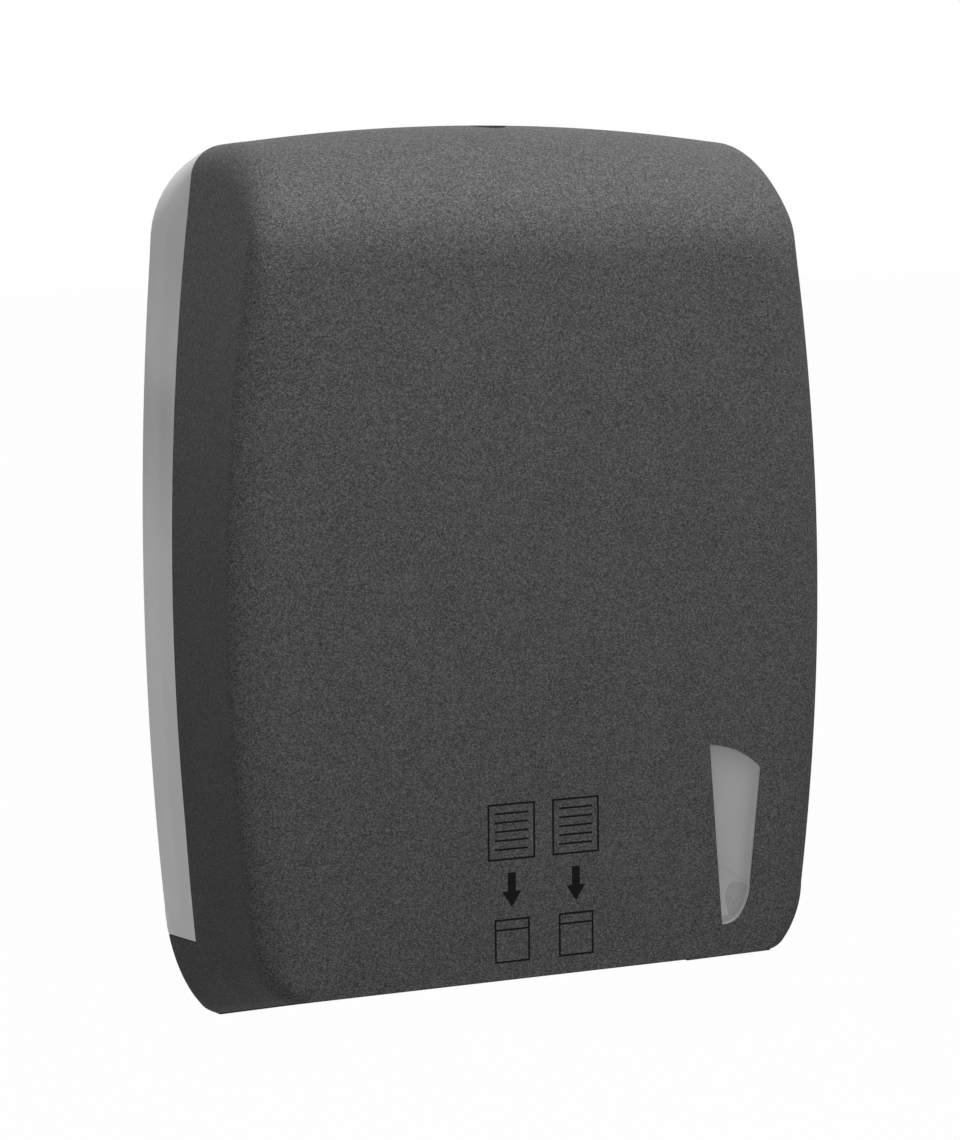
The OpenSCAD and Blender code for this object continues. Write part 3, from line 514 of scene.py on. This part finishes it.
# %% Clear pad in the window
WINDOW_FIT, WINDOW_SINK = 0.15, 0.3
pad_t = BODY_D - SHELL_IN - SHELL_WALL / 2
window_pad = flat_face("window_pad", window_outline(), pad_t)
edit_all(window_pad)
bpy.ops.mesh.inset(thickness=WINDOW_FIT * MM)
bpy.ops.mesh.select_all(action="INVERT")
bpy.ops.mesh.delete(type="FACE")
done()
pull(window_pad, BODY_D - WINDOW_SINK - pad_t)
combine(shell, window_pad, "UNION")
print("pad stands", round(SHELL_IN - WINDOW_SINK, 2), "mm above the shell")

# %% [markdown]
# ## Hinge knuckles and the lock's pad
# The hood swings on two knuckles at its lower rear corners, and the lock sits on a round pad
# under its top. Each is a bar that must end exactly at the shell's outer side, so it is first
# trimmed with a closed copy of the form and then added to the shell.

# %% Knuckles and pad
KNUCKLE_X, KNUCKLE_R, KNUCKLE_ROD = 100.5, 7.05, 30
LOCK_T, PAD_R, PAD_DROP = 67, 19, 11
TRIM_IN = SHELL_IN + 0.1
hinge_axis, lock_axis, stud_axis = (1, 0, 0), (0, 0, 1), (0, 1, 0)


def close_open_edges(piece):
    edit(piece, "EDGE")
    pick_open_edges()
    bpy.ops.mesh.edge_face_add()
    bpy.ops.mesh.select_all(action="SELECT")
    bpy.ops.mesh.normals_make_consistent(inside=False)
    done()


seats = [rod("pad", PAD_R, point(0, LOCK_T, BODY_H), lock_axis, 2 * PAD_DROP, 64)]
for side in (-1, 1):
    middle = point(side * (KNUCKLE_X + KNUCKLE_ROD / 2), HINGE_T, HEEL_R)
    seats.append(rod("knuckle", KNUCKLE_R, middle, hinge_axis, KNUCKLE_ROD))
for seat in seats:
    form = sheet_over_form("form", TRIM_IN)
    close_open_edges(form)
    combine(seat, form, "INTERSECT")
    combine(shell, seat, "UNION")
print("seats added:", len(seats), "faces in the shell:", len(shell.data.polygons))

# %% [markdown]
# ## Bores and studs
# The lock's bore goes straight down through skin and shell. Each knuckle gets a blind bore
# for its bush. Four studs stand on the inside of the skin and pass through holes in the
# shell, where a spring nut on each holds the two walls together.

# %% Bores and studs
BORE_R = 7.6
KNUCKLE_BORE_R, KNUCKLE_BORE_L = 4.6, 10
STUD_R, STUD_PLAY, STUD_TIP, NUT_T, STUD_HOLE_L = 1.5, 0.3, 1.5, 1, 20
STUD_X, STUD_HS = 82, (140, 290)
shell_face_t = BODY_D - CAVITY_IN
stud_back_t = shell_face_t - NUT_T - STUD_TIP
stud_l = BODY_D - SKIN_WALL / 2 - stud_back_t


def bore_lock(wall):
    bore = rod("bore", BORE_R, point(0, LOCK_T, BODY_H - BROW_DROP / 2), lock_axis, BROW_DROP * 2)
    combine(wall, bore, "DIFFERENCE")


bore_lock(skin)
for side in (-1, 1):
    middle = point(side * (KNUCKLE_X + KNUCKLE_BORE_L / 2), HINGE_T, HEEL_R)
    bore = rod("bush_bore", KNUCKLE_BORE_R, middle, hinge_axis, KNUCKLE_BORE_L + 2)
    combine(shell, bore, "DIFFERENCE")
    for h in STUD_HS:
        middle = point(side * STUD_X, shell_face_t, h)
        hole = rod("stud_hole", STUD_R + STUD_PLAY, middle, stud_axis, STUD_HOLE_L, 32)
        combine(shell, hole, "DIFFERENCE")
        middle = point(side * STUD_X, stud_back_t + stud_l / 2, h)
        stud = rod("stud", STUD_R, middle, stud_axis, stud_l, 32)
        combine(skin, stud, "UNION")
bore_lock(shell)
print("studs:", 2 * len(STUD_HS), "each", round(stud_l, 1), "mm long")

# %% [markdown]
# ## One clear moulding
# Band and shell are joined into one piece. Then every face is split into triangles, because
# a long thin face that a cut leaves can fold on itself when it is split later, and the faces
# are shaded smooth up to an angle, so that the curves flow and the seams stay crisp.

# %% Join and smooth
SMOOTH_TO = radians(35)
only(band)
shell.select_set(True)
bpy.ops.object.join()
band.name = "hood_shell"
shell = band
for piece in (skin, shell):
    edit_all(piece)
    bpy.ops.mesh.quads_convert_to_tris(quad_method="SHORTEST_DIAGONAL", ngon_method="BEAUTY")
    done()
    only(piece)
    bpy.ops.object.shade_smooth_by_angle(angle=SMOOTH_TO)
    print(piece.name, len(piece.data.polygons), "triangles")

# %% [markdown]
# The two walls take the place of the plain ones and swing with the hood.

# %% Put the walls in place
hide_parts("cover_skin")
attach(skin, "cover")
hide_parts("inner_shell")
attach(shell, "cover")
print("skin and shell ride on the hood")

# %% [markdown]
# ## Shader arithmetic
# A finish is a network of shader nodes. Written as sums and products it stays readable, so
# one small class stands for an output socket and adds the Math nodes itself. Its method
# node() adds any other kind of node. Numbers alone are worked out before they get there.

# %% Signals
class Signal:
    """An output of a shader node, to reckon with like a number."""

    def __init__(self, tree, output):
        self.tree, self.output = tree, output

    def node(self, kind, output=0, settings=None, **inputs):
        """Adds a node, sets it up, and wires or sets the inputs that are named."""
        node = self.tree.nodes.new(kind)
        for name, value in (settings or {}).items():
            setattr(node, name, value)
        for name, value in inputs.items():
            self.feed(node.inputs[name.replace("_", " ")], value)
        return Signal(self.tree, node.outputs[output])

    def feed(self, socket, value):
        """Wires a signal to a socket, or sets the socket to a number."""
        if isinstance(value, Signal):
            self.tree.links.new(value.output, socket)
        else:
            socket.default_value = value

    def reckon(self, operation, first, second, kind="ShaderNodeMath"):
        """Adds a node that works on two values, whose inputs share one name."""
        node = self.tree.nodes.new(kind)
        node.operation = operation
        self.feed(node.inputs[0], first)
        self.feed(node.inputs[1], second)
        return Signal(self.tree, node.outputs[0])

    def __add__(self, other):
        return self.reckon("ADD", self, other)

    def __radd__(self, other):
        return self.reckon("ADD", other, self)

    def __sub__(self, other):
        return self.reckon("SUBTRACT", self, other)

    def __rsub__(self, other):
        return self.reckon("SUBTRACT", other, self)

    def __mul__(self, other):
        return self.reckon("MULTIPLY", self, other)

    def __rmul__(self, other):
        return self.reckon("MULTIPLY", other, self)

    def __truediv__(self, other):
        return self.reckon("DIVIDE", self, other)

    def above(self, other):
        """1 where the value is above the other, 0 elsewhere."""
        return self.reckon("GREATER_THAN", self, other)

    def below(self, other):
        return self.reckon("LESS_THAN", self, other)

    def between(self, low, high):
        return self.above(low) * self.below(high)

    def rest(self):
        """What is left after the whole number."""
        return self.reckon("FRACT", self, 0)

    def size(self):
        """The value without its sign."""
        return self.reckon("ABSOLUTE", self, 0)

    def either(self, other):
        """The larger of the two."""
        return self.reckon("MAXIMUM", self, other)

    def ramp(self, start, end):
        """Rises softly from 0 at start to 1 at end."""
        return self.node("ShaderNodeMapRange", settings={"interpolation_type": "SMOOTHSTEP"},
                         Value=self, From_Min=start, From_Max=end)


print("signals ready")

# %% [markdown]
# Every finish starts from the same few things: a material, the place on the piece, a cloudy
# noise, a mix of two colours and a bump. The place is read in the object's own coordinates,
# so a pattern stays on its piece when the hood swings.

# %% What every finish starts from
def new_finish(name, **constants):
    """A material, the place on the piece as a signal, and its main shader."""
    material = bpy.data.materials.new(name)
    material.use_nodes = True
    tree = material.node_tree
    shader = tree.nodes["Principled BSDF"]
    for socket, value in constants.items():
        shader.inputs[socket.replace("_", " ")].default_value = value
    coordinates = tree.nodes.new("ShaderNodeTexCoord")
    return material, Signal(tree, coordinates.outputs["Object"]), shader


def noise(place, size, detail=2):
    """Cloudy noise from 0 to 1 whose spots are about size millimetres across."""
    return place.node("ShaderNodeTexNoise", Vector=place, Scale=1 / (size * MM), Detail=detail)


def tint(place, share, dark, light):
    """Colour between dark and light, each a grey, a colour or a signal."""
    def rgba(colour):
        if isinstance(colour, Signal):
            return colour
        return (*colour, 1) if isinstance(colour, tuple) else (colour, colour, colour, 1)
    return place.node("ShaderNodeMix", output=2, settings={"data_type": "RGBA"},
                      Factor=share, A=rgba(dark), B=rgba(light))


def relief(place, shader, height, depth):
    """Bumps the surface by a height signal; depth is that of a full step in millimetres."""
    bump = place.node("ShaderNodeBump", Height=height, Distance=depth * MM, Strength=1)
    place.feed(shader.inputs["Normal"], bump)


def parted(place):
    """The place as three signals in millimetres: sideways, depth from the wall, height."""
    outputs = place.node("ShaderNodeSeparateXYZ", Vector=place).output.node.outputs
    x, y, z = (Signal(place.tree, output) * (1 / MM) for output in outputs)
    return x, 0 - y, z + BODY_H / 2


def dress(piece, material):
    """Puts the material in every slot of the piece, or in a new one if it has none."""
    if not piece.material_slots:
        piece.data.materials.append(material)
    for slot in piece.material_slots:
        slot.material = material
    print(piece.name, "gets", material.name, "of", len(material.node_tree.nodes), "nodes")


print("finish helpers ready")

# %% [markdown]
# ## The printed sign
# A small sign low on the front shows how it works: two stacks of folded sheets, an arrow
# down from each, and a sheet hanging below. It is printed in black. It could be cut from
# thin faces laid on the front, but ink has no thickness, so it is a mask in the finish: each
# line is the set of places whose distance from an edge is less than half the line's width.
# Both halves are alike, so the sign is drawn once and the sideways place loses its sign.

# %% Sign
SIGN_X, LINE = 13.5, 0.8
STACK_H, STACK_HALF_W, STACK_HALF_H = 95, 9.5, 11
FOLD_HALF_W, FOLD_HALF_H, FOLD_STEP, FOLD_START = 7, 9.5, 3.6, 84
SHAFT_H, SHAFT_HALF_W, SHAFT_HALF_H = 74.5, 1.7, 4
TIP_H, TIP_TOP_H, TIP_SPREAD = 64.5, 71, 0.62
SHEET_H, SHEET_HALF_W, SHEET_HALF_H = 51, 7, 8.5
TEAR_H, TEAR_HALF_H = 57.5, 2


def frame_line(x, h, middle_h, half_w, half_h):
    """1 on the outline of an upright rectangle, 0 elsewhere."""
    edge = ((x - SIGN_X).size() - half_w).either((h - middle_h).size() - half_h)
    return edge.size().below(LINE / 2)


def sign(x, h):
    """1 where the sign is printed, 0 elsewhere."""
    x = x.size()
    off = (x - SIGN_X).size()
    fold = ((h - FOLD_START) / FOLD_STEP).rest().below(LINE / FOLD_STEP)
    folds = fold * off.below(FOLD_HALF_W) * (h - STACK_H).size().below(FOLD_HALF_H)
    shaft = off.below(SHAFT_HALF_W) * (h - SHAFT_H).size().below(SHAFT_HALF_H)
    tip = (off - (h - TIP_H) * TIP_SPREAD).below(0) * h.between(TIP_H, TIP_TOP_H)
    marks = frame_line(x, h, STACK_H, STACK_HALF_W, STACK_HALF_H)
    for part in (frame_line(x, h, SHEET_H, SHEET_HALF_W, SHEET_HALF_H),
                 frame_line(x, h, TEAR_H, SHEET_HALF_W, TEAR_HALF_H), folds, shaft, tip):
        marks = marks.either(part)
    return marks


print("sign from", SHEET_H - SHEET_HALF_H, "to", STACK_H + STACK_HALF_H, "mm above the edge")

# %% [markdown]
# ## The dark skin
# The skin is moulded in charcoal plastic from a tool with a sparked surface: thousands of
# tiny pits, and here and there a grain that catches the light. A Voronoi texture gives each
# cell of about 0.4 mm a random value, which sets its colour and its height; the brightest
# cells are also painted lighter, as painted glints, and get a little more gloss. A wide cloud
# keeps large areas from looking printed. The gloss is low, because the pits scatter most of the
# light.

# %% Charcoal finish
GRAIN, GRAIN_DEPTH, PRINT_DEPTH = 0.4, 0.04, 0.2


def specks(place, size):
    """A random value from 0 to 1 for each cell of about size millimetres."""
    cells = place.node("ShaderNodeTexVoronoi", output="Color", Vector=place, Scale=1 / (size * MM))
    return cells.node("ShaderNodeSeparateColor", Color=cells)


charcoal, place, shader = new_finish("charcoal_sparked", Specular_IOR_Level=0.08)
x, t, h = parted(place)
ink = sign(x, h) * t.above(BODY_D - PRINT_DEPTH)
grain = specks(place, GRAIN)
# Painted glints: the brightest cells are painted lighter in the base colour, and the same mask
# lowers their roughness.
painted_glint_and_gloss = grain.ramp(0.8, 1.0)
cloud = noise(place, 30)
plastic = tint(place, grain * 0.75 + painted_glint_and_gloss * 0.15 + cloud * 0.1, 0.016, 0.098)
place.feed(shader.inputs["Base Color"], tint(place, ink, plastic, 0.003))
place.feed(shader.inputs["Roughness"], 0.62 - painted_glint_and_gloss * 0.2)
relief(place, shader, grain, GRAIN_DEPTH)
dress(skin, charcoal)

# %% [markdown]
# ## The clear smoke shell
# The shell is see-through grey plastic with a gloss. Light scatters a little inside the real
# material, so from the side, where the wall is seen with more plastic behind it, it looks
# milky, and only in the window is it clear enough to show what stands behind. Real
# refraction through two thin walls would need many more samples and would hardly show, so
# clear and milky are made with alpha: low in front, high along the band. Its grey is painted
# darker towards the top and paler towards the bottom, as painted shade and painted light.

# %% Smoke finish
WINDOW_ZONE = BODY_D - 8, BODY_D - 6
PAINTED_LIGHT_BELOW, PAINTED_SHADE_ABOVE = 170, 320
smoke, place, shader = new_finish("smoke_clear", Specular_IOR_Level=0.35, Roughness=0.2)
x, t, h = parted(place)
front = t.ramp(*WINDOW_ZONE)
haze = noise(place, 25)
# Painted shade and light: the band's grey is painted darker towards the top and paler towards the
# bottom, in place of how light falls through it.
low = 1 - h.ramp(PAINTED_LIGHT_BELOW, PAINTED_SHADE_ABOVE)
place.feed(shader.inputs["Base Color"], tint(place, low * 0.9 + haze * 0.1, 0.25, 0.86))
place.feed(shader.inputs["Alpha"], 0.85 - front * 0.71 + haze * 0.04)
relief(place, shader, noise(place, 9, detail=1), 0.02)
dress(shell, smoke)

# %% [markdown]
# ## Plastic and metal of the inner pieces
# The inner pieces are plain satin mouldings and small metal parts. Each gets a faint mottle,
# a fine moulded grain and its own gloss, so that none of them looks like a flat colour. The
# metals get a streak instead, stretched one way where the real part was drawn or turned.

# %% Inner finishes
def moulded(name, dark, light, roughness):
    """Satin plastic between two colours."""
    material, place, shader = new_finish(name, Specular_IOR_Level=0.4)
    mottle = noise(place, 18, detail=3)
    grain = noise(place, 0.5)
    place.feed(shader.inputs["Base Color"], tint(place, mottle, dark, light))
    place.feed(shader.inputs["Roughness"], roughness - 0.05 + grain * 0.1)
    relief(place, shader, grain, 0.02)
    return material


def metal(name, dark, light, roughness, brushed=(1, 1, 1)):
    """Metal between two greys, streaked along the axis whose share is small."""
    material, place, shader = new_finish(name, Metallic=1.0)
    run = place.reckon("MULTIPLY", place, brushed, kind="ShaderNodeVectorMath")
    streak = noise(run, 0.6, detail=3)
    place.feed(shader.inputs["Base Color"], tint(place, streak, dark, light))
    place.feed(shader.inputs["Roughness"], roughness - 0.06 + streak * 0.12)
    relief(place, shader, streak, 0.008)
    return material


finishes = {
    "base_plastic": moulded("light_grey_moulding", 0.54, 0.58, 0.45),
    "guide_plastic": moulded("pale_moulding", 0.74, 0.78, 0.4),
    "tray_plastic": moulded("dark_grey_moulding", 0.03, 0.045, 0.42),
    "black_plastic": moulded("black_moulding", 0.011, 0.016, 0.35),
    "nylon": moulded("natural_nylon", (0.66, 0.63, 0.55), (0.72, 0.69, 0.61), 0.5),
    "steel": metal("plated_steel", 0.42, 0.52, 0.32, (1, 0.15, 1)),
    "screw_steel": metal("zinc_screw", 0.46, 0.58, 0.28),
    "lock_metal": metal("die_cast_lock", 0.40, 0.48, 0.38, (0.3, 1, 1)),
}
print("finishes:", sorted(finishes))

# %% [markdown]
# The record names a material slot for each solid, so each solid is dressed by its slot. The
# two solids that the skin and the shell stand for are left out.

# %% Dress the solids
slots = {part["node"]: part["material_slot"] for part in frame["record"]["subparts"]}
for node_name, piece in frame["nodes"].items():
    if slots[node_name] in finishes:
        dress(piece, finishes[slots[node_name]])

# %% [markdown]
# ## Studio
# The dispenser hangs on a wall, so the floor lies well below it and only takes its shadow.
# To the camera the floor is almost plain white, by way of a share of glow that only camera
# rays see, and the object isn't lit by it.

# %% Floor
FLOOR_H, FLOOR_W, FLOOR_GLOW = -0.95, 80, 0.985
bpy.ops.mesh.primitive_plane_add(size=FLOOR_W, location=(0, 0, FLOOR_H))
floor = bpy.context.object
floor.name = "floor"
settle(floor)
pale, place, shader = new_finish("pale_floor", Roughness=0.9, Specular_IOR_Level=0.1)
place.feed(shader.inputs["Base Color"], tint(place, noise(place, 60), 0.80, 0.84))
glow = place.node("ShaderNodeEmission", Color=(1, 1, 1, 1), Strength=1.0)
ray = place.node("ShaderNodeLightPath", output="Is Camera Ray")
seen = place.node("ShaderNodeMixShader", Fac=ray * FLOOR_GLOW)
mixer = seen.output.node
place.tree.links.new(shader.outputs[0], mixer.inputs[1])
place.tree.links.new(glow.output, mixer.inputs[2])
place.tree.links.new(seen.output, place.tree.nodes["Material Output"].inputs["Surface"])
dress(floor, pale)

# %% [markdown]
# Three soft lamps do the lighting. A wide one overhead brings out the roll from the top into
# the front, one from the upper right draws the right shoulder, and a weak one far out in
# front on the left lifts the side, the band and what stands behind the window.

# %% Lamps
def softbox(name, place, target, width, height, power):
    """A rectangular area lamp that faces a target."""
    bpy.ops.object.light_add(type="AREA", location=place)
    lamp = bpy.context.object
    lamp.name = name
    lamp.data.shape = "RECTANGLE"
    lamp.data.size, lamp.data.size_y = width, height
    lamp.data.energy = power
    aim = Vector(target) - Vector(place)
    lamp.rotation_euler = aim.to_track_quat("-Z", "Y").to_euler()
    print(name, round(aim.length, 2), "m away,", power, "W")


softbox("lamp_over", (0.05, -0.33, 0.9), (0, -0.05, 0.1), 1.4, 0.6, 17)
softbox("lamp_right", (0.6, -0.95, 0.8), (0, 0, 0.1), 0.7, 0.7, 9)
softbox("lamp_front", (-0.85, -2.15, 0.45), (0.05, 0, -0.1), 0.6, 0.6, 13)

# %% [markdown]
# The surroundings are plain white for what the camera sees and for reflections, and dim for
# everything else, so that white walls show in metal and gloss but don't flood the object.

# %% World
FILL = 0.17
world = bpy.data.worlds.new("studio")
bpy.context.scene.world = world
world.use_nodes = True
sky_tree = world.node_tree
sky_tree.nodes.clear()
path = sky_tree.nodes.new("ShaderNodeLightPath")
sky, shiny, through = (Signal(sky_tree, path.outputs[name]) for name in (
    "Is Camera Ray", "Is Glossy Ray", "Is Transmission Ray"))
bright = (sky + shiny + through).above(0.5)
backdrop = sky.node("ShaderNodeBackground", Color=(1, 1, 1, 1), Strength=FILL + bright * (1 - FILL))
sky_out = sky_tree.nodes.new("ShaderNodeOutputWorld")
sky_tree.links.new(backdrop.output, sky_out.inputs["Surface"])
bpy.context.scene.view_settings.view_transform = "Standard"
print("fill light:", FILL)
